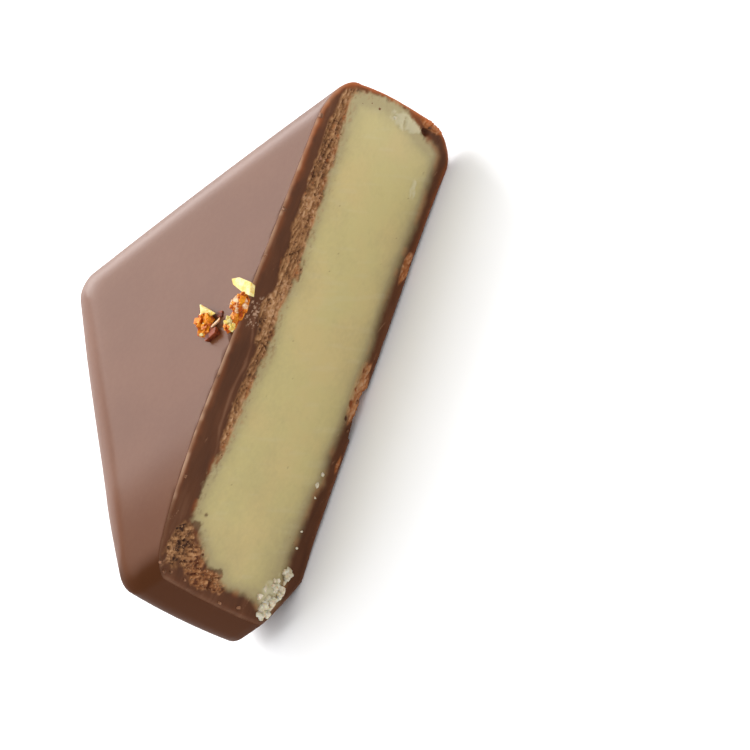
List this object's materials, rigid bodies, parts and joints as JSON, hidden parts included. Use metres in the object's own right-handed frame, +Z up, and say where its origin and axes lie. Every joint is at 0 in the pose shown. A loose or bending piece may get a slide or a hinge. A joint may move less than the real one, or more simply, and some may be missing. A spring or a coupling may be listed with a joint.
{
  "type": "cut half of a square marzipan chocolate",
  "caption": "Half of a square marzipan praline, cut almost corner to corner: a milk chocolate coat, open at the cut, round a pale marzipan core, with crumbs of brittle on top.",
  "frame": {"origin": "middle of the bounding box, on the surface that the piece rests on", "axes": "+Z up out of the top of the chocolate, +X along the cut from the short left wall to the pointed right end, -Y out of the cut face"},
  "size_m": [0.0416, 0.0228, 0.0152],
  "materials": {
    "milk_chocolate": "set milk chocolate: satin outside, matt where it was cut, crumbly where it broke",
    "marzipan": "soft matt almond paste with a fine grain"
  },
  "bodies": {
    "root": {"chocolate_coat": "milk_chocolate", "marzipan": "marzipan"}
  },
  "joints": []
}
